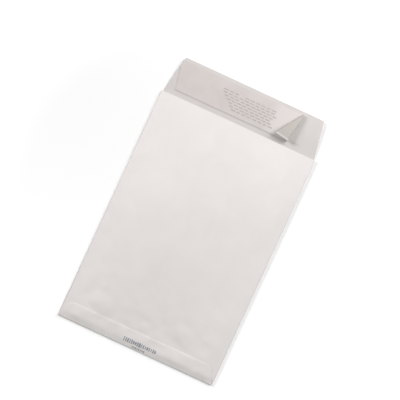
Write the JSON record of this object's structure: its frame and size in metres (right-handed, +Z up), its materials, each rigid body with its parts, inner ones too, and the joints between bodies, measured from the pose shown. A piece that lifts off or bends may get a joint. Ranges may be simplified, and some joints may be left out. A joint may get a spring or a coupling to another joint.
{
  "type": "open pocket envelope",
  "caption": "White fibre-sheet pocket envelope lying open, with a seal flap, an adhesive band and a partly peeled release liner.",
  "frame": {"origin": "centre of the overall box's underside, on the surface that the envelope lies on", "axes": "+X across the envelope, towards its folded side; +Y along it, towards the seal flap; +Z up, out of the back panel"},
  "size_m": [0.162, 0.274, 0.0087],
  "materials": {
    "fibre_sheet": "white spun-bonded fibre sheet, satin, with a faint swirl of fibres",
    "seam_glue": "dried seam glue",
    "seal_adhesive": "clear tacky film",
    "release_paper": "grey-white release paper, smooth"
  },
  "bodies": {
    "root": {"envelope_sheet": "fibre_sheet", "side_seam_glue": "seam_glue", "bottom_seam_glue": "seam_glue", "seal_adhesive": "seal_adhesive", "release_liner": "release_paper"}
  },
  "joints": []
}
